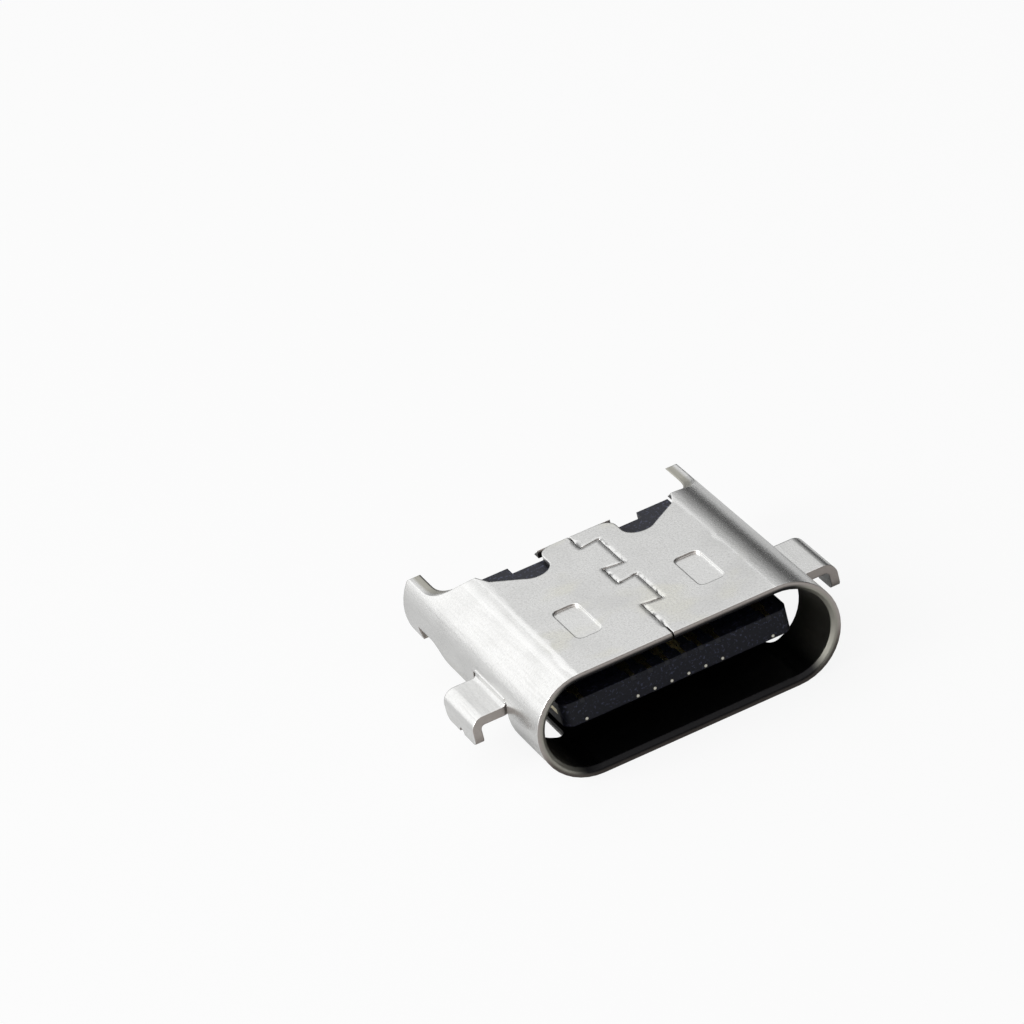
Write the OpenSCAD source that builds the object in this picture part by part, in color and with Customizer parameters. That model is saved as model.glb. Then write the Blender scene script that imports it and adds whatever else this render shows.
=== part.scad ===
// Mid-mount USB Type-C receptacle with sixteen contacts, in millimetres.
// X is the width, Y runs from the mouth (low Y) to the tails, Z is up.
// The part rests on its plain bottom face, and the folded seam is on top.

/* [Shell] */
// Width of the opening inside the shell
mouth_w = 8.34; // [8.2:0.02:8.6]
// Height of the opening inside the shell
mouth_h = 2.56; // [2.5:0.02:2.8]
// Thickness of the shell's sheet
sheet = 0.25; // [0.2:0.01:0.3]
// Length of the closed tube, from the mouth to its rear edge
shell_len = 6.6; // [6.4:0.1:7.2]
// Size of the lead-in chamfer round the mouth
lead_in = 0.1; // [0.05:0.01:0.15]
// Width of the slit along the folded seam
seam_gap = 0.05; // [0.03:0.01:0.08]
// Depth of the pressed pads
pad_depth = 0.06; // [0.03:0.01:0.1]

/* [Board mounting] */
// Height of the board's top face above the shell's bottom face
board_z = 1.5; // [1.35:0.05:1.65]
// How far each side tab reaches out past the shell
tab_reach = 1; // [0.8:0.05:1.4]
// How far each side tab reaches down into the board
tab_drop = 0.55; // [0.4:0.05:1]
// Start of the side windows behind the mouth
window_start = 2; // [1.8:0.1:2.2]
// Length of the side windows
window_len = 2.2; // [1.8:0.1:2.4]
// How far the side windows reach in from the shell's side
window_inset = 1.4; // [1:0.05:1.6]
// How far the two rear legs reach past the tube
leg_len = 2.4; // [2:0.1:2.8]
// Length of the hook at the end of each leg
hook_len = 0.9; // [0.7:0.1:1.1]
// How far the hooks reach down into the board
leg_drop = 0.5; // [0.4:0.05:1]

/* [Tongue] */
// Width of the tongue
tongue_w = 6.69; // [6.6:0.01:6.7]
// Thickness of the tongue
tongue_t = 0.7; // [0.66:0.01:0.76]
// Distance of the tongue's tip behind the mouth
tongue_setback = 0.75; // [0.6:0.05:1]
// Thickness of the metal plate inside the tongue
plate_t = 0.15; // [0.1:0.01:0.18]
// Clearance between the housing and the shell
fit_clear = 0.03; // [0.02:0.01:0.08]

/* [Contacts] */
// Thickness of the contact strip
contact_t = 0.14; // [0.1:0.01:0.16]
// Width of a contact on the tongue
contact_w = 0.28; // [0.22:0.01:0.34]
// Width of a solder tail
tail_w = 0.27; // [0.2:0.01:0.34]
// Spacing of the solder tails
tail_pitch = 0.5; // [0.48:0.01:0.5]
// How far the tails reach out past the housing
tail_len = 1.6; // [1.4:0.1:2]

/* [Hidden] */
$fn = 64;
cut = 0.02; // how far a cutter passes the face that it opens

// Shell
outer_w = mouth_w + 2 * sheet;
outer_h = mouth_h + 2 * sheet;
mid_z = outer_h / 2;
bend_r = 0.12; // inside radius of the sheet's bends
leg_end = shell_len + leg_len;
leg_top = mid_z + 0.95;
sweep_len = 1.5; // the tube's rear edge runs down along the bend onto the leg
sweep_r = (pow(sweep_len, 2) + pow(outer_h - leg_top, 2)) / (2 * (outer_h - leg_top));
step_r = 0.6; // below the leg it runs down to the bottom face
window_top = board_z + sheet + bend_r;
window_end = window_start + window_len;
slit = 0.13; // relief slit on each side of a tab
pad_x = 1.8;
top_pad = [0.75, 1.8]; // pads in the seam face, and how far back they lie
top_pad_y = 2.45;
bottom_pad = [0.75, 1.75];
bottom_pad_y = 3.1;
slot = [0.85, 0.36]; // lock slots over the housing
slot_y = shell_len - 1.1;
notch_in = 1.1; // rear notches in the seam face, measured from the middle
notch_out = 2.95;
notch_depth = 1.25;
notch_r = 0.5;
cutout_w = 1.66; // rear cut-out in the bottom face
cutout_depth = 0.75;
lobe_w = 0.7; // the edge beside the cut-out is bent into the housing's rear
lobe_len = 0.5;
lobe_angle = 42;
nick_r = 0.13; // relief nick beside each lobe
nick_gap = 0.5;
notch_land = 0.2; // the notch's outer side slopes back to a short land
notch_land_depth = 0.5;
edge_r = 0.4; // round corners of the seam face between the notches
window_r = 0.3;
pad_r = 0.2;
leg_r = 0.1; // round corners of the legs, hooks and tab lips
hook_r = 0.15;
lip_r = 0.2;
lip_nick_r = 0.14;
seam_x = -0.15; // the seam's straight stretches, and its two dovetails
finger_reach = 0.57;
finger_len = 1.45;
finger_pitch = 2.45;
finger_rear = shell_len - 0.8;
finger_flare = 0.1;

// Housing and tongue
wall_y = shell_len - 1.4; // front wall of the housing's rear block
block_end = shell_len - 0.1;
base_y = wall_y - 1; // the tongue's thicker root
base_t = 1.2;
base_w = 7.4;
nose_len = 0.4; // plastic in front of the wafers
nose_y = tongue_setback + nose_len;
rail_w = 0.25; // plastic beside the wafers
wafer_end = base_y + 0.35;
latch_y = nose_y + 1.25; // latch recess in the tongue's sides
latch_len = 1.25;
latch_depth = 0.15;
plate_front = tongue_setback + 0.2;
plate_end = wall_y - 0.2;
plate_latch = 0.35;
block_in = 1.95; // blocks over the tails, beside the rear notches
block_out = 2.9;
block_reach = 0.35;
block_gap = 0.1; // free height over the tails
scoop_y = shell_len - lobe_len - sheet; // the rear face leans back to clear the bent lobes
scoop_z = sheet + lobe_len * sin(lobe_angle) + 0.3;
tip_r = 0.3; // round front corners of the tongue and of its plate
plate_r = 0.25;

// Contacts: row is 1 on the seam's side and -1 on the bottom's side
ROWS = [1, -1, 1, -1, -1, 1, -1, 1, 1, -1, 1, -1, -1, 1, -1, 1];
PLACES = [-5.5, -5.5, -2.5, -2.5, -1.5, -1.5, -0.5, -0.5, 0.5, 0.5, 1.5, 1.5, 2.5, 2.5, 5.5, 5.5];
place_pitch = 0.5; // spacing of the places on the tongue
tip_w = 0.14;
jog_start = wafer_end + 0.05;
jog_end = jog_start + 1;
bend_start = jog_end + 0.05;
bend_end = bend_start + 0.4;
tail_end = block_end + tail_len;

function contact_x(i) = PLACES[i] * place_pitch;
function tail_x(i) = (i - (len(ROWS) - 1) / 2) * tail_pitch;
function strip_z(i) = ROWS[i] > 0 ? mid_z + tongue_t / 2 - contact_t : mid_z - tongue_t / 2;

// Outer half width of the shell at height z
function wall_x(z) = (outer_w - outer_h) / 2 + sqrt(pow(outer_h / 2, 2) - pow(z - mid_z, 2));

// An X-Z outline run along Y, a Y-Z outline along X, and an X-Y outline along Z
module along_y(y0, y1) {
    translate([0, y1, 0]) rotate([90, 0, 0]) linear_extrude(y1 - y0) children();
}
module along_x(x0, x1) {
    translate([x0, 0, 0]) rotate([90, 0, 90]) linear_extrude(x1 - x0) children();
}
module along_z(z0, z1) {
    translate([0, 0, z0]) linear_extrude(z1 - z0) children();
}
module both_sides() {
    children();
    mirror([1, 0, 0]) children();
}

// Outline with full-round ends, centred on the shell's mid height
module stadium(w, h) {
    translate([0, mid_z]) {
        square([w - h, h], center = true);
        for (side = [-1, 1]) translate([side * (w - h) / 2, 0]) circle(d = h);
    }
}

// Rectangle with round corners, centred on the origin
module round_rect(size, r) {
    square([size[0] - 2 * r, size[1]], center = true);
    square([size[0], size[1] - 2 * r], center = true);
    for (x = [-1, 1], y = [-1, 1])
        translate([x * (size[0] / 2 - r), y * (size[1] / 2 - r)]) circle(r);
}

// What a round corner leaves over: a square of side r less its quarter circle
module corner(r) {
    difference() {
        translate([-r, -r]) square(r + cut);
        translate([-r, -r]) circle(r);
    }
}

// Quarter of a bent sheet, in the quadrant that sx and sy point at
module bend(sx, sy) {
    intersection() {
        difference() {
            circle(bend_r + sheet);
            circle(bend_r);
        }
        scale([sx, sy]) square(bend_r + sheet);
    }
}

// Side view of the shell: the tube, then the legs with notch and hook
module side_outline() {
    translate([-cut, -1]) square([shell_len + cut, outer_h + 2]);
    difference() {
        union() {
            translate([shell_len - cut, board_z]) square([leg_len + cut, leg_top - board_z]);
            translate([leg_end - hook_len, board_z - leg_drop])
                square([hook_len, leg_top - board_z + leg_drop]);
        }
        translate([leg_end, leg_top]) corner(leg_r);
        translate([leg_end, board_z - leg_drop]) mirror([0, 1]) corner(hook_r);
        translate([leg_end - hook_len, board_z - leg_drop]) rotate(180) corner(hook_r);
    }
    difference() {
        translate([shell_len - cut, leg_top - cut])
            square([sweep_len + cut, outer_h - leg_top + cut]);
        translate([shell_len + sweep_len, leg_top + sweep_r]) circle(sweep_r, $fn = 256);
    }
    difference() {
        translate([shell_len - cut, board_z - step_r]) square([step_r + cut, step_r + cut]);
        translate([shell_len + step_r, board_z - step_r]) circle(step_r);
    }
}

module lead_in_cutter() {
    r = mouth_h / 2;
    for (side = [-1, 1])
        translate([side * (mouth_w - mouth_h) / 2, -cut, mid_z]) rotate([-90, 0, 0])
            cylinder(h = lead_in + cut, r1 = r + lead_in + cut, r2 = r);
    along_x(-(mouth_w - mouth_h) / 2, (mouth_w - mouth_h) / 2)
        polygon([[-cut, mid_z - r - lead_in - cut], [-cut, mid_z + r + lead_in + cut],
            [lead_in, mid_z + r], [lead_in, mid_z - r]]);
}

// The folded seam: straight stretches joined round two dovetails
function seam_points() = concat([[seam_x, shell_len + 1]],
    [for (i = [0, 1], p = [
        [seam_x, finger_rear - i * finger_pitch],
        [seam_x + finger_reach, finger_rear - i * finger_pitch + finger_flare],
        [seam_x + finger_reach, finger_rear - i * finger_pitch - finger_len - finger_flare],
        [seam_x, finger_rear - i * finger_pitch - finger_len]]) p],
    [[seam_x, -1]]);

module seam() {
    points = seam_points();
    for (i = [1 : len(points) - 1]) {
        step = points[i] - points[i - 1];
        translate(points[i - 1]) rotate(atan2(step[1], step[0]))
            translate([-seam_gap / 2, -seam_gap / 2]) square([norm(step) + seam_gap, seam_gap]);
    }
}

// Window left by a side tab, seen from above
module window_outline() {
    translate([outer_w / 2, (window_start + window_end) / 2])
        round_rect([2 * window_inset, window_len], window_r);
}

// Side tab: it leaves the wall outward, lies on the board and turns down into it
module tab() {
    root_x = wall_x(window_top);
    tip_x = outer_w / 2 + tab_reach;
    y0 = window_start + slit;
    y1 = window_end - slit;
    difference() {
        along_y(y0, y1) {
            translate([root_x - sheet, window_top - cut]) square([sheet, 0.1 + cut]);
            translate([root_x + bend_r, window_top]) bend(-1, -1);
            translate([root_x + bend_r - cut, board_z])
                square([tip_x - root_x - 2 * bend_r - sheet + 2 * cut, sheet]);
            translate([tip_x - sheet - bend_r, board_z - bend_r]) bend(1, 1);
            translate([tip_x - sheet, board_z - tab_drop])
                square([sheet, tab_drop - bend_r + cut]);
        }
        along_x(tip_x - sheet - cut, tip_x + cut) {
            for (end = [[y0, 180], [y1, 270]])
                translate([end[0], board_z - tab_drop]) rotate(end[1]) corner(lip_r);
            translate([(y0 + y1) / 2, board_z - tab_drop]) circle(lip_nick_r);
        }
    }
}

// Notch in the seam face's rear edge
module rear_notch() {
    translate([notch_in + notch_r, shell_len - notch_depth + notch_r]) circle(notch_r);
    polygon([[notch_in, shell_len - notch_depth + notch_r], [notch_in, shell_len + 1],
        [notch_out, shell_len + 1], [notch_out, shell_len - cut],
        [notch_out - notch_land, shell_len - notch_land_depth],
        [notch_in + 1.7 * notch_r, shell_len - notch_depth + 0.3 * notch_r],
        [notch_in + notch_r, shell_len - notch_depth + notch_r]]);
}

// Edge beside the rear cut-out, bent up behind the housing
module lobe() {
    intersection() {
        translate([0, shell_len - lobe_len, 0]) rotate([lobe_angle, 0, 0])
            translate([cutout_w / 2, -sheet, 0]) cube([lobe_w, lobe_len + sheet, sheet]);
        cube([outer_w, leg_end, outer_h]);
    }
}

module pads(size, y) {
    both_sides() translate([pad_x, y]) round_rect(size, pad_r);
}

module shell_body() {
    difference() {
        union() {
            intersection() {
                along_y(0, leg_end) difference() {
                    stadium(outer_w, outer_h);
                    stadium(mouth_w, mouth_h);
                }
                along_x(-outer_w, outer_w) side_outline();
            }
            along_z(outer_h - sheet - pad_depth, outer_h - sheet / 2) pads(top_pad, top_pad_y);
            along_z(sheet / 2, sheet + pad_depth) pads(bottom_pad, bottom_pad_y);
        }
        lead_in_cutter();
        along_z(outer_h - pad_depth, outer_h + 1) pads(top_pad, top_pad_y);
        along_z(-1, pad_depth) pads(bottom_pad, bottom_pad_y);
        along_z(mid_z, outer_h + 1) seam();
        both_sides() {
            along_z(-1, window_top) window_outline();
            along_z(mid_z, outer_h + 1) rear_notch();
            along_z(-1, mid_z) translate([pad_x, slot_y]) square(slot, center = true);
            along_z(-1, mid_z) translate([cutout_w / 2 + lobe_w + nick_gap, shell_len]) circle(nick_r);
            along_z(mid_z, outer_h + 1) translate([notch_in, shell_len]) corner(edge_r);
        }
        along_z(-1, mid_z) translate([-cutout_w / 2 - lobe_w, shell_len - lobe_len])
            square([cutout_w + 2 * lobe_w, 1]);
        along_z(-1, mid_z) translate([-cutout_w / 2, shell_len - cutout_depth])
            square([cutout_w, 1]);
    }
}

module shell() {
    color("silver") {
        shell_body();
        both_sides() {
            tab();
            lobe();
        }
    }
}

// One contact: tip, strip on the tongue, sideways jog, step to board height, tail
module contact_shape(i) {
    w = contact_w / 2;
    along_z(strip_z(i), strip_z(i) + contact_t) polygon([
        [contact_x(i) - tip_w / 2, tongue_setback], [contact_x(i) + tip_w / 2, tongue_setback],
        [contact_x(i) + tip_w / 2, nose_y], [contact_x(i) + w, nose_y + 0.1],
        [contact_x(i) + w, jog_start], [tail_x(i) + tail_w / 2, jog_end],
        [tail_x(i) + tail_w / 2, bend_start], [tail_x(i) - tail_w / 2, bend_start],
        [tail_x(i) - tail_w / 2, jog_end], [contact_x(i) - w, jog_start],
        [contact_x(i) - w, nose_y + 0.1], [contact_x(i) - tip_w / 2, nose_y]]);
    along_x(tail_x(i) - tail_w / 2, tail_x(i) + tail_w / 2) polygon([
        [jog_end, strip_z(i)], [bend_start, strip_z(i)], [bend_end, board_z],
        [tail_end, board_z], [tail_end, board_z + contact_t], [bend_end, board_z + contact_t],
        [bend_start, strip_z(i) + contact_t], [jog_end, strip_z(i) + contact_t]]);
}

module contact(i) {
    color("gold") contact_shape(i);
}

// Plastic between the plate and one face of the tongue; side is 1 above, -1 below
module wafer_block(side) {
    z0 = side > 0 ? mid_z + plate_t / 2 : mid_z - tongue_t / 2;
    w = tongue_w - 2 * rail_w;
    translate([-w / 2, nose_y, z0]) cube([w, wafer_end - nose_y, (tongue_t - plate_t) / 2]);
}

module wafer(side) {
    color("#1c2230") difference() {
        wafer_block(side);
        for (i = [0 : len(ROWS) - 1]) if (ROWS[i] == side) contact_shape(i);
    }
}

module mid_plate() {
    color("gainsboro") along_z(mid_z - plate_t / 2, mid_z + plate_t / 2) difference() {
        translate([-tongue_w / 2, plate_front]) square([tongue_w, plate_end - plate_front]);
        both_sides() translate([tongue_w / 2 - plate_latch, latch_y])
            square([1, latch_len]);
        both_sides() translate([tongue_w / 2, plate_front]) mirror([0, 1]) corner(plate_r);
    }
}

// Black moulding: the tongue's frame and root, the rear block and its two ledges
module housing_body() {
    along_z(mid_z - tongue_t / 2, mid_z + tongue_t / 2) difference() {
        translate([-tongue_w / 2, tongue_setback]) square([tongue_w, wall_y - tongue_setback + cut]);
        both_sides() translate([tongue_w / 2, tongue_setback]) mirror([0, 1]) corner(tip_r);
        both_sides() translate([tongue_w / 2 - latch_depth, latch_y]) square([1, latch_len]);
    }
    translate([-base_w / 2, base_y, mid_z - base_t / 2]) cube([base_w, wall_y - base_y + cut, base_t]);
    intersection() {
        along_y(wall_y, block_end + block_reach)
            stadium(mouth_w - 2 * fit_clear, mouth_h - 2 * fit_clear);
        union() {
            translate([-outer_w / 2, wall_y, 0]) cube([outer_w, block_end - wall_y, outer_h]);
            both_sides() translate([block_in, block_end - cut, board_z + contact_t + block_gap])
                cube([block_out - block_in, block_reach + cut, outer_h]);
        }
    }
}

module housing() {
    color("#20242e") difference() {
        housing_body();
        along_x(-outer_w, outer_w)
            polygon([[scoop_y, 0], [scoop_y, sheet], [block_end + cut, scoop_z], [block_end + cut, 0]]);
        wafer_block(1);
        wafer_block(-1);
        mid_plate();
        for (i = [0 : len(ROWS) - 1]) contact_shape(i);
    }
}

// The part's own frame has its origin under the middle of the whole outline
module in_place() {
    translate([0, -leg_end / 2, 0]) children();
}

in_place() shell();
in_place() housing();
in_place() wafer(1);  // upper_wafer
in_place() wafer(-1);  // lower_wafer
in_place() mid_plate();
for (i = [0 : len(ROWS) - 1])
    in_place() contact(i);
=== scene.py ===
import math
import bpy
from mathutils import Matrix, Vector


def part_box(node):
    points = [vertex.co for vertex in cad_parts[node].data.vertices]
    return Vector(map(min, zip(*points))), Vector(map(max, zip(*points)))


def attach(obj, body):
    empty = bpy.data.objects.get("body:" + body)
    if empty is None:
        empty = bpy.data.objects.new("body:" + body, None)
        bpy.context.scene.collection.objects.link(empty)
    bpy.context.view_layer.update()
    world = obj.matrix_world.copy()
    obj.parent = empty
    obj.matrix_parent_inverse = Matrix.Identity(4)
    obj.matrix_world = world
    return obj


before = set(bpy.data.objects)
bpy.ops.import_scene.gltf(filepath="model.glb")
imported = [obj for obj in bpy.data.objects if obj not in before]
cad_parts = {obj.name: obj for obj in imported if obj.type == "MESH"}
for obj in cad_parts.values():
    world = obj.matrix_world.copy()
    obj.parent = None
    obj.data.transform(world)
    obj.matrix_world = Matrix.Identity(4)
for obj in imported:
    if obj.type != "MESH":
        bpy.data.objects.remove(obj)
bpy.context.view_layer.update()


# Shell. One blank of nickel-plated stainless strip is stamped, folded round into the tube and
# locked along its dovetailed seam. The flats are satin from the rolling, the bends are burnished
# by the tools, and the cut edges show the browner core, with painted shade on their lower half.
# The inside is painted dark as shade, less dark towards its rounded ends.
mm = 0.001


class Wire:
    """A node socket. Arithmetic on it adds Math nodes, and node() adds any other node."""

    def __init__(self, tree, socket=None):
        self.tree, self.socket = tree, socket

    def node(self, kind, settings=None, inputs=None, output=0):
        """Adds a node: its settings first, then its inputs, as links or as plain values."""
        made = self.tree.nodes.new(kind)
        for name, value in (settings or {}).items():
            setattr(made, name, value)
        for name, value in (inputs or {}).items():
            if isinstance(value, Wire):
                self.tree.links.new(value.socket, made.inputs[name])
            else:
                made.inputs[name].default_value = value
        return Wire(self.tree, made.outputs[output]) if made.outputs else None

    def math(self, operation, second=0.0, first=None):
        first = self if first is None else first
        return self.node("ShaderNodeMath", {"operation": operation}, {0: first, 1: second})

    def __add__(self, other):
        return self.math("ADD", other)

    def __sub__(self, other):
        return self.math("SUBTRACT", other)

    def __rsub__(self, other):
        return self.math("SUBTRACT", self, other)

    def __mul__(self, other):
        return self.math("MULTIPLY", other)

    __radd__ = __add__
    __rmul__ = __mul__

    def dot(self, other):
        return self.node("ShaderNodeVectorMath", {"operation": "DOT_PRODUCT"},
                         {0: self, 1: other}, "Value")

    def rise(self, low, high, out_low=0.0, out_high=1.0):
        """out_low below low, out_high above high, and a smooth rise between them."""
        return self.node("ShaderNodeMapRange", {"interpolation_type": "SMOOTHSTEP"},
                         {"Value": self, "From Min": low, "From Max": high,
                          "To Min": out_low, "To Max": out_high})

    def fall(self, low, high):
        """1 below low, 0 above high, and a smooth fall between them."""
        return self.rise(low, high, 1.0, 0.0)

    def blend(self, first, second):
        """From the first colour to the second, with this value as the share of the second."""
        return self.node("ShaderNodeMix", {"data_type": "RGBA"}, {0: self, 6: first, 7: second}, 2)

    def axes(self):
        """The X, Y and Z of a point on the part."""
        place = self.node("ShaderNodeTexCoord", output="Object")
        return [self.node("ShaderNodeSeparateXYZ", None, {0: place}, axis) for axis in "XYZ"]

    def noise(self, size, detail=2.0, rough=0.5, stretch=(1, 1, 1)):
        """Noise with grains of this size in metres."""
        place = self.node("ShaderNodeTexCoord", output="Object")
        place = self.node("ShaderNodeMapping", None, {"Vector": place, "Scale": stretch})
        return self.node("ShaderNodeTexNoise", None, {"Vector": place, "Scale": 1 / size,
                                                      "Detail": detail, "Roughness": rough})

    def softened(self, radius, samples=8):
        """The normal with the sharp edges rounded to this radius."""
        return self.node("ShaderNodeBevel", {"samples": samples}, {"Radius": radius})

    def bump(self, strength, depth, height, normal=None):
        inputs = {"Strength": strength, "Distance": depth, "Height": height}
        if normal:
            inputs["Normal"] = normal
        return self.node("ShaderNodeBump", None, inputs)


def new_material(name):
    """An empty material, and a Wire to start its nodes from."""
    material = bpy.data.materials.new(name)
    material.use_nodes = True
    material.node_tree.nodes.clear()
    return material, Wire(material.node_tree)


def finish_material(start, **sockets):
    """The Principled shader with these sockets, wired to the output."""
    inputs = {name.replace("_", " "): value for name, value in sockets.items()}
    shader = start.node("ShaderNodeBsdfPrincipled", None, inputs)
    start.node("ShaderNodeOutputMaterial", None, {"Surface": shader})


def dress(node, material):
    """Gives a CAD node this material."""
    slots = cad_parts[node].data.materials
    slots.clear()
    slots.append(material)


# Where things lie on the shell
shell_low, shell_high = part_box("shell")
mid_z = (shell_low.z + shell_high.z) / 2
bend_start, sheet = 2.89 * mm, 0.25 * mm
seam_reach, seam_margin, seam_end = 0.9 * mm, 0.35 * mm, 1.75 * mm
soft_border = 0.15 * mm
pad_top, pad_depth = shell_high.z, 0.06 * mm
shell_metal, start = new_material("shell_metal")
across, along, upward = start.axes()
aside = across.math("ABSOLUTE")
around = (aside - bend_start).math("MAXIMUM", 0.0)
above_mid = upward - mid_z
bend = around.rise(0.02 * mm, 0.25 * mm)
flat = 1 - bend
into_wall = (around * around + above_mid * above_mid).math("SQRT") - (mid_z - sheet)
inside = into_wall.fall(0.45 * sheet, 0.80 * sheet)
round_end = around.rise(0.4 * mm, 1.0 * mm)
shaded_low_half = above_mid.fall(-0.9 * mm, -0.2 * mm)
pad_floor = (upward.fall(pad_top - 0.05 * mm, pad_top - 0.02 * mm)
             * upward.rise(pad_top - pad_depth - 0.02 * mm, pad_top - pad_depth - 0.005 * mm))
seam_zone = (aside.fall(seam_reach, seam_reach + 0.1 * mm) * above_mid.rise(1.2 * mm, 1.4 * mm)
             * along.rise(shell_low.y + seam_margin, shell_low.y + seam_margin + soft_border)
             * along.fall(seam_end, seam_end + soft_border))

# Edges: the cut ends of the sheet, and the rounding that tools and handling leave, later lightened
# in colour as wear and as a painted highlight
edge_radius, seam_extra_radius = 0.055 * mm, 0.12 * mm
facing = start.node("ShaderNodeNewGeometry", output="Normal")
cut_end = start.node("ShaderNodeSeparateXYZ", None, {0: facing}, "Y").math("ABSOLUTE")
cut_end = cut_end.rise(0.55, 0.85)
rounded = start.softened(seam_zone * seam_extra_radius + edge_radius)
kept_straight = facing.dot(rounded)
worn_and_highlit_edge = kept_straight.fall(0.80, 0.985)
seam_edge = kept_straight.fall(0.90, 0.998) * seam_zone

# Marks in the plating, with painted light among them: glints in the grain, a highlight along each
# crease and shade along the seam
clouds = start.noise(1.6 * mm, 3.0)
warmth = start.noise(1.9 * mm, stretch=(1.0, 1.3, 1.0)).rise(0.52, 0.66)
grain = start.noise(0.045 * mm, rough=0.6)
speckle = start.noise(0.065 * mm).rise(0.40, 0.74)
# Painted glints: small bright specks in the grain, lightened in colour
painted_glint = start.noise(0.055 * mm, stretch=(1.1, 0.9, 1)).rise(0.44, 0.76)
streaks = start.noise(0.09 * mm, rough=0.6, stretch=(1, 0.05, 1))
# Spots of painted shade along the seam's edges
seam_shade_spots = start.noise(0.16 * mm, rough=0.6, stretch=(1, 0.7, 1)).rise(0.49, 0.56)
seam_shade_patches = start.noise(0.5 * mm, 1.0).rise(0.44, 0.54)
# A wandering line along each crease from flat to bend, lightened in colour: a painted highlight,
# with a smoother finish too
crease_wander = start.noise(0.9 * mm) * (0.4 * mm) - 0.24 * mm
crease_highlight = (aside - bend_start + crease_wander).math("ABSOLUTE").fall(0.04 * mm, 0.12 * mm)

nickel, shade, straw = (0.76, 0.76, 0.75, 1), (0.52, 0.52, 0.51, 1), (0.76, 0.75, 0.65, 1)
burnished_and_highlight, seam_shade_dark = (0.90, 0.90, 0.89, 1), (0.10, 0.10, 0.10, 1)
core, core_in_painted_shade = (0.31, 0.25, 0.215, 1), (0.08, 0.075, 0.07, 1)
inside_painted_shade, inside_end_painted_shade = (0.018, 0.018, 0.02, 1), (0.42, 0.41, 0.36, 1)
colour = (clouds.rise(0.4, 0.8) * 0.35).blend(nickel, shade)
colour = (warmth * flat * 0.5).blend(colour, straw)
colour = (speckle * (flat * 0.28 + 0.22)).blend(colour, shade)
colour = (bend * streaks.rise(0.45, 0.7) * 0.25).blend(colour, shade)
# Lighter towards the burnished colour: the worn edges, partly wear and partly a painted highlight;
# the painted crease highlight and glints; the pad floors
rubbed_and_highlit = worn_and_highlit_edge * 0.5 + crease_highlight * 0.7 + painted_glint * 0.3 + pad_floor * 0.35
colour = rubbed_and_highlit.blend(colour, burnished_and_highlight)
# Painted shade: dark spots along the seam's edges, where the coined fingers sit lower
colour = (seam_edge * seam_shade_patches * seam_shade_spots * 0.85).blend(colour, seam_shade_dark)
# The cut edges show the browner core; on their lower half they are darker still, as painted shade
colour = (cut_end * (shaded_low_half * 0.3 + 0.65)).blend(colour, core)
colour = (cut_end * shaded_low_half * 0.8).blend(colour, core_in_painted_shade)
# Painted shade: the inside of the tube nearly black, less dark towards its rounded ends
colour = (inside * 0.97).blend(colour, round_end.blend(inside_painted_shade, inside_end_painted_shade))
satin = 0.19
roughness = (satin + grain * 0.16 + clouds * 0.05 - bend * 0.05 - crease_highlight * 0.08
             + cut_end * 0.15 + inside * 0.1)
bump = start.bump(0.5, 0.007 * mm, grain, rounded)
bump = start.bump(0.2, 0.003 * mm, streaks * bend, bump)
finish_material(start, Base_Color=colour, Metallic=1.0, Roughness=roughness, Normal=bump)
dress("shell", shell_metal)


# Housing. The rear block and the tongue's frame are one moulding of black glass-filled
# thermoplastic, shot round the contacts: a matte face with a fine spark-eroded texture.
black_moulding, start = new_material("black_moulding")
resin, glass_fleck = (0.007, 0.008, 0.014, 1), (0.085, 0.095, 0.16, 1)
grain = start.noise(0.04 * mm, rough=0.6)
flecks = start.noise(0.08 * mm, rough=0.6).rise(0.55, 0.72)
rounded = start.softened(0.04 * mm, 6)
finish_material(start, Base_Color=(flecks * 0.6).blend(resin, glass_fleck),
                Roughness=grain * 0.2 + 0.42, Specular_IOR_Level=0.3,
                Normal=start.bump(0.5, 0.008 * mm, grain + flecks * 0.5, rounded))
dress("housing", black_moulding)


# Wafers. The two thin mouldings that hold the rows of contacts on the tongue are the same
# plastic, shot round the strips in a slightly smoother tool.
wafer_moulding, start = new_material("wafer_moulding")
resin, glass_speck = (0.004, 0.005, 0.010, 1), (0.03, 0.035, 0.07, 1)
grain = start.noise(0.05 * mm)
specks = start.noise(0.07 * mm, 1.0).rise(0.52, 0.70)
finish_material(start, Base_Color=(specks * 0.8).blend(resin, glass_speck),
                Roughness=grain * 0.15 + 0.42, Specular_IOR_Level=0.25,
                Normal=start.bump(0.3, 0.003 * mm, grain))
for node in ("upper_wafer", "lower_wafer"):
    dress(node, wafer_moulding)


# Middle plate. A stainless stamping laid between the wafers, which shields one row from the
# other. Its edges stay bare at the tongue's sides, where a plug's springs latch.
plate_metal, start = new_material("plate_metal")
plate_warm, plate_pale = (0.66, 0.58, 0.36, 1), (0.74, 0.68, 0.48, 1)
lines = start.noise(0.06 * mm, 3.0, 0.6, (1, 0.08, 1))
finish_material(start, Base_Color=lines.rise(0.3, 0.7).blend(plate_warm, plate_pale),
                Metallic=1.0, Roughness=lines * 0.2 + 0.25,
                Normal=start.bump(0.2, 0.003 * mm, lines))
dress("mid_plate", plate_metal)


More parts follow.
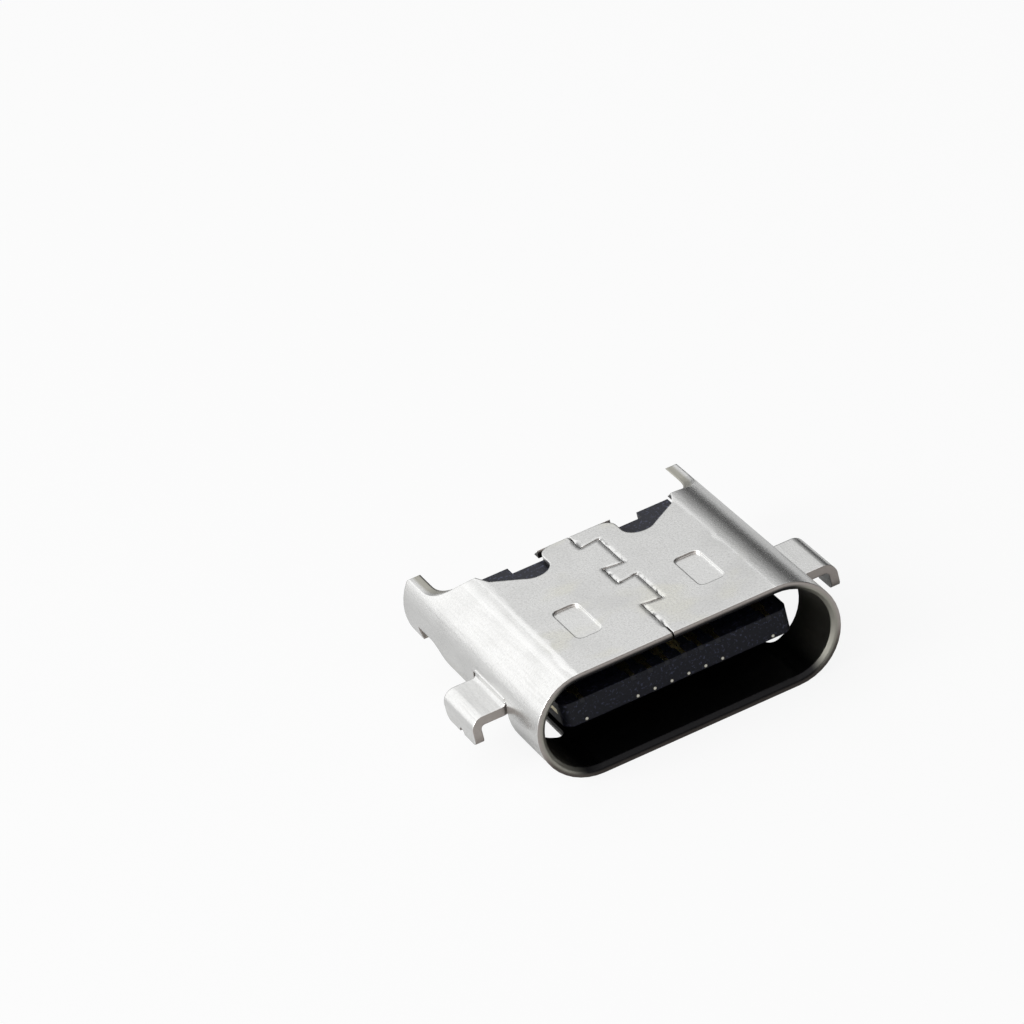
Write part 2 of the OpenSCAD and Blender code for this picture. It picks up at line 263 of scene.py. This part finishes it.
# Contacts. Sixteen strips of copper alloy with a thin gold plating, laid in the wafers, which
# step sideways inside the housing and come out behind it as solder tails. The plastic covers
# their front ends but for a cut tie bar, a pale dot, on each of the lower row.
contact_gold, start = new_material("contact_gold")
plate_low, plate_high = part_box("mid_plate")
tongue_z, row_pitch = (plate_low.z + plate_high.z) / 2, 0.5 * mm
tip_y, dot_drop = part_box("contact_a1")[0].y, 0.275 * mm
across, along, upward = start.axes()
off_line = ((across * (1 / row_pitch)).math("FRACT") - 0.5) * row_pitch
off_height = upward - (tongue_z - dot_drop)
off_dot = (off_line * off_line + off_height * off_height).math("SQRT")
front_end = along.fall(tip_y + 0.03 * mm, tip_y + 0.06 * mm)
tie_bar = front_end * off_dot.fall(0.03 * mm, 0.05 * mm)
covered = front_end - tie_bar
clouds = start.noise(0.4 * mm)
grain = start.noise(0.03 * mm, rough=0.6, stretch=(1, 0.3, 1))
wiped = start.noise(0.05 * mm, rough=0.6, stretch=(1, 0.06, 1)).rise(0.5, 0.75)
gold, pale_gold, wiped_gold = (0.80, 0.66, 0.28, 1), (0.88, 0.80, 0.48, 1), (0.46, 0.36, 0.15, 1)
cut_bar, cover_black = (0.85, 0.84, 0.76, 1), (0.012, 0.013, 0.02, 1)
colour = clouds.rise(0.3, 0.7).blend(gold, pale_gold)
colour = (wiped * 0.3).blend(colour, wiped_gold)
colour = covered.blend(tie_bar.blend(colour, cut_bar), cover_black)
rounded = start.softened(0.05 * mm)
finish_material(start, Base_Color=colour, Metallic=1 - covered,
                Roughness=grain * 0.15 + 0.22 + covered * 0.3,
                Normal=start.bump(0.25, 0.003 * mm, grain, rounded))
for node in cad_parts:
    if node.startswith("contact_"):
        dress(node, contact_gold)


# Solder toes. The ends of the sixteen tails are rounded over in the tool and dipped in tin,
# which leaves a slightly thicker, paler cap on each. One cap is drawn and set out along the row.
first_tail, last_tail = [[corner.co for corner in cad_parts[node].data.vertices]
                         for node in ("contact_a1", "contact_a12")]
end_y = max(spot.y for spot in first_tail)
first_end, last_end = [[spot for spot in tail if spot.y > end_y - 0.01 * mm]
                       for tail in (first_tail, last_tail)]
first_x, last_x = sorted((min(spot.x for spot in end) + max(spot.x for spot in end)) / 2
                         for end in (first_end, last_end))
under, over = min(spot.z for spot in first_end), max(spot.z for spot in first_end)
tail_w = max(spot.x for spot in first_end) - min(spot.x for spot in first_end)
tin_t, toe_len, toe_reach = 0.006 * mm, 0.30 * mm, 0.07 * mm
tail_count, corner_share, corner_steps = 16, 0.42, 8

toe_tin, start = new_material("toe_tin")
along = start.axes()[1]
wetted = along + start.noise(0.12 * mm) * (0.16 * mm)
ripple = start.noise(0.06 * mm)
thin_tin, thick_tin = (0.78, 0.68, 0.38, 1), (0.88, 0.84, 0.64, 1)
colour = wetted.rise(end_y - 0.12 * mm, end_y + 0.02 * mm).blend(thin_tin, thick_tin)
rounded = start.softened(0.05 * mm)
finish_material(start, Base_Color=colour, Metallic=1.0, Roughness=ripple * 0.2 + 0.2,
                Normal=start.bump(0.3, 0.004 * mm, ripple, rounded))

plan = bpy.data.node_groups.new("toe_row", "GeometryNodeTree")
for name, kind in (("Caps", "NodeSocketInt"), ("Pitch", "NodeSocketFloat"),
                   ("Metal", "NodeSocketMaterial")):
    plan.interface.new_socket(name, in_out="INPUT", socket_type=kind)
plan.interface.new_socket("Geometry", in_out="OUTPUT", socket_type="NodeSocketGeometry")
given = plan.nodes.new("NodeGroupInput")
caps, pitch, metal = (Wire(plan, given.outputs[name]) for name in ("Caps", "Pitch", "Metal"))
start = Wire(plan)
outline = start.node("GeometryNodeCurvePrimitiveQuadrilateral", None,
                     {"Width": tail_w + 2 * tin_t, "Height": toe_len})
outline = start.node("GeometryNodeFilletCurve", {"mode": "POLY"},
                     {"Curve": outline, "Radius": corner_share * tail_w, "Limit Radius": True,
                      "Count": corner_steps})
underside = start.node("GeometryNodeFillCurve", {"mode": "NGONS"}, {"Curve": outline})
raised = start.node("GeometryNodeExtrudeMesh", None,
                    {"Mesh": underside, "Offset": (0, 0, 1),
                     "Offset Scale": over - under + 2 * tin_t, "Individual": False})
underside = start.node("GeometryNodeFlipFaces", None, {"Mesh": underside})
joined = plan.nodes.new("GeometryNodeJoinGeometry")
for half in (raised, underside):
    plan.links.new(half.socket, joined.inputs[0])
cap = start.node("GeometryNodeMergeByDistance", None,
                 {"Geometry": Wire(plan, joined.outputs[0]), "Distance": 0.001 * mm})
row_step = start.node("ShaderNodeCombineXYZ", None, {"X": pitch})
row_start = (first_x, end_y + toe_reach - toe_len / 2, under - tin_t)
row = start.node("GeometryNodeMeshLine", {"mode": "OFFSET"},
                 {"Count": caps, "Offset": row_step, "Start Location": row_start})
row = start.node("GeometryNodeInstanceOnPoints", None, {"Points": row, "Instance": cap})
row = start.node("GeometryNodeRealizeInstances", None, {"Geometry": row})
row = start.node("GeometryNodeSetMaterial", None, {"Geometry": row, "Material": metal})
start.node("NodeGroupOutput", None, {"Geometry": row})

carrier = bpy.data.objects.new("toe_carrier", bpy.data.meshes.new("toe_carrier"))
bpy.context.scene.collection.objects.link(carrier)
growth = carrier.modifiers.new("toe_row", "NODES")
growth.node_group = plan
values = {"Caps": tail_count, "Pitch": (last_x - first_x) / (tail_count - 1), "Metal": toe_tin}
for item in plan.interface.items_tree:
    if item.in_out == "INPUT":
        growth[item.identifier] = values[item.name]
bpy.context.view_layer.update()
grown = carrier.evaluated_get(bpy.context.evaluated_depsgraph_get())
toe_mesh = bpy.data.meshes.new_from_object(grown)
bpy.data.objects.remove(carrier)
toe_mesh.name = "solder_toes"
solder_toes = bpy.data.objects.new("solder_toes", toe_mesh)
bpy.context.scene.collection.objects.link(solder_toes)
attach(solder_toes, "root")


# Studio. The part lies on its plain bottom face on a white sweep, under a broad soft light
# from the left and behind, with the room dimmer to the right.
reach, floor_gap = 0.6, 0.01 * mm
floor_mesh = bpy.data.meshes.new("floor")
floor_mesh.from_pydata([(-reach, -reach, 0), (reach, -reach, 0), (reach, reach, 0),
                        (-reach, reach, 0)], [], [(0, 1, 2, 3)])
floor = bpy.data.objects.new("floor", floor_mesh)
floor.location.z = -floor_gap
bpy.context.scene.collection.objects.link(floor)
floor_white, start = new_material("floor_white")
paper, white, glow_share = (0.55, 0.55, 0.55, 1), (1, 1, 1, 1), 0.9
seen = start.node("ShaderNodeLightPath", output="Is Camera Ray")
lit = start.node("ShaderNodeBsdfDiffuse", None, {"Color": paper})
glow = start.node("ShaderNodeEmission", None, {"Color": white, "Strength": 1.0})
mixed = start.node("ShaderNodeMixShader", None, {0: seen * glow_share, 1: lit, 2: glow})
start.node("ShaderNodeOutputMaterial", None, {"Surface": mixed})
floor_mesh.materials.append(floor_white)

room = bpy.data.worlds.new("room")
bpy.context.scene.world = room
room.use_nodes = True
room.node_tree.nodes.clear()
start = Wire(room.node_tree)
bright_side = tuple(Vector((-0.65, 0.3, 0.7)).normalized())
dim_level, bright_level = 0.07, 1.25
direction = start.node("ShaderNodeTexCoord", output="Generated")
level = direction.dot(bright_side).rise(0.0, 0.68, dim_level, bright_level)
seen = start.node("ShaderNodeLightPath", output="Is Camera Ray")
backdrop = start.node("ShaderNodeBackground", None,
                      {"Color": white, "Strength": seen + (1 - seen) * level})
start.node("ShaderNodeOutputWorld", None, {"Surface": backdrop})


def softbox(name, place, size, power):
    """A square area lamp at place, turned to the part."""
    lamp = bpy.data.lights.new(name, "AREA")
    lamp.size, lamp.energy = size, power
    box = bpy.data.objects.new(name, lamp)
    box.location = place
    box.rotation_mode = "QUATERNION"
    box.rotation_quaternion = (-Vector(place)).to_track_quat("-Z", "Y")
    bpy.context.scene.collection.objects.link(box)


softbox("key", (-0.13, 0.02, 0.08), 0.07, 0.16)
softbox("fill", (0.05, -0.16, 0.10), 0.10, 0.03)


# Camera. A long lens held to the left of the mouth and above it, rolled against the part, with
# the part a little right of and below the middle of the frame.
azimuth, elevation, roll = map(math.radians, (-17.78, 30.03, -14.65))
pan, tilt = math.radians(1.227), math.radians(1.143)
distance, focal_length, film_width = 150 * mm, 199.67, 36
nearest, farthest = 1 * mm, 10
aim = Vector((0, -1.0 * mm, 1.6 * mm))
back = Vector((math.sin(azimuth) * math.cos(elevation), -math.cos(azimuth) * math.cos(elevation),
               math.sin(elevation)))
level_right = Vector((math.cos(azimuth), math.sin(azimuth), 0))
level_up = back.cross(level_right)
right = math.cos(roll) * level_right + math.sin(roll) * level_up
up = math.cos(roll) * level_up - math.sin(roll) * level_right
forward = Vector((0, 0, -1))
turned_aside = Vector((math.tan(pan), -math.tan(tilt), -1)).rotation_difference(forward)
turn = Matrix((right, up, back)).transposed() @ turned_aside.to_matrix()
camera_data = bpy.data.cameras.new("camera")
camera_data.lens, camera_data.sensor_width = focal_length, film_width
camera_data.clip_start, camera_data.clip_end = nearest, farthest
camera = bpy.data.objects.new("camera", camera_data)
camera.matrix_world = Matrix.Translation(aim + back * distance) @ turn.to_4x4()
bpy.context.scene.collection.objects.link(camera)
bpy.context.scene.camera = camera
bpy.context.scene.view_settings.view_transform = "Standard"
